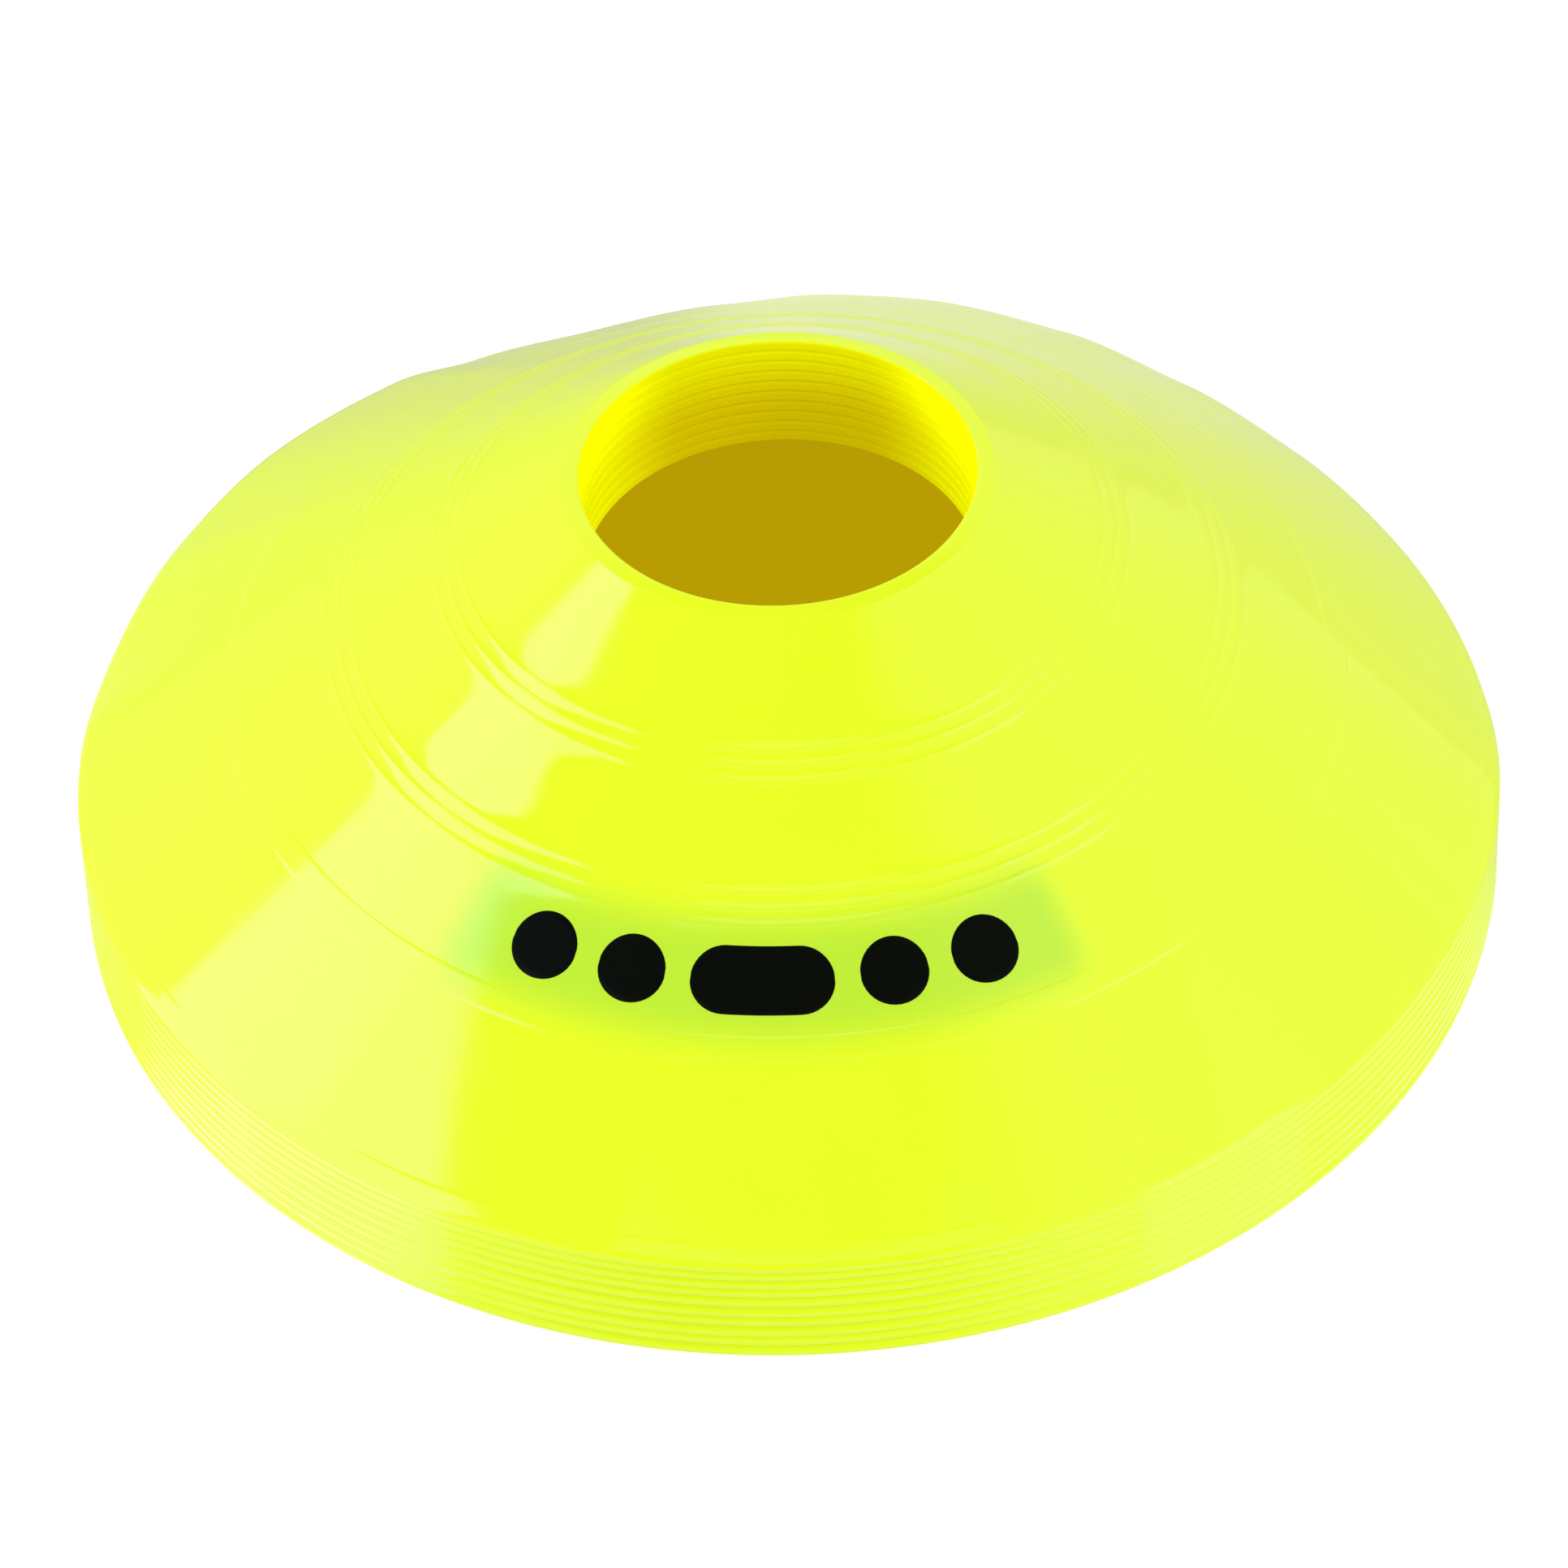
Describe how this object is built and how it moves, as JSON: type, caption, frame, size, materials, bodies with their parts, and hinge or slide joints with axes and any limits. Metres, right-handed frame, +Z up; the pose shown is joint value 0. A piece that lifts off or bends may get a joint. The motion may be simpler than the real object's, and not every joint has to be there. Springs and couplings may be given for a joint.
{
  "type": "sports marker cone",
  "caption": "Nested stack of low disc marker cones in glossy translucent plastic, each a thin hollow cone with a round hole in its top that lifts off the one below.",
  "frame": {"origin": "centre of the lowest disc's foot ring, on the surface that the stack stands on", "axes": "+Z up along the stack's axis, through the holes; -Y towards the printed side"},
  "size_m": [0.19, 0.19, 0.0657],
  "materials": {
    "disc_plastic": "glossy fluorescent yellow-green, slightly translucent"
  },
  "bodies": {
    "disc_01": {"disc_01": "disc_plastic"},
    "disc_02": {"disc_02": "disc_plastic"},
    "disc_03": {"disc_03": "disc_plastic"},
    "disc_04": {"disc_04": "disc_plastic"},
    "disc_05": {"disc_05": "disc_plastic"},
    "disc_06": {"disc_06": "disc_plastic"},
    "disc_07": {"disc_07": "disc_plastic"},
    "disc_08": {"disc_08": "disc_plastic"},
    "disc_09": {"disc_09": "disc_plastic"},
    "disc_10": {"disc_10": "disc_plastic"}
  },
  "joints": [
    {"name": "lift_01", "type": "slide", "parent": "disc_02", "child": "disc_01", "axis": [0, 0, 1], "range_m": [0, 0.055]},
    {"name": "lift_02", "type": "slide", "parent": "disc_03", "child": "disc_02", "axis": [0, 0, 1], "range_m": [0, 0.055]},
    {"name": "lift_03", "type": "slide", "parent": "disc_04", "child": "disc_03", "axis": [0, 0, 1], "range_m": [0, 0.055]},
    {"name": "lift_04", "type": "slide", "parent": "disc_05", "child": "disc_04", "axis": [0, 0, 1], "range_m": [0, 0.055]},
    {"name": "lift_05", "type": "slide", "parent": "disc_06", "child": "disc_05", "axis": [0, 0, 1], "range_m": [0, 0.055]},
    {"name": "lift_06", "type": "slide", "parent": "disc_07", "child": "disc_06", "axis": [0, 0, 1], "range_m": [0, 0.055]},
    {"name": "lift_07", "type": "slide", "parent": "disc_08", "child": "disc_07", "axis": [0, 0, 1], "range_m": [0, 0.055]},
    {"name": "lift_08", "type": "slide", "parent": "disc_09", "child": "disc_08", "axis": [0, 0, 1], "range_m": [0, 0.055]},
    {"name": "lift_09", "type": "slide", "parent": "disc_10", "child": "disc_09", "axis": [0, 0, 1], "range_m": [0, 0.055]}
  ]
}
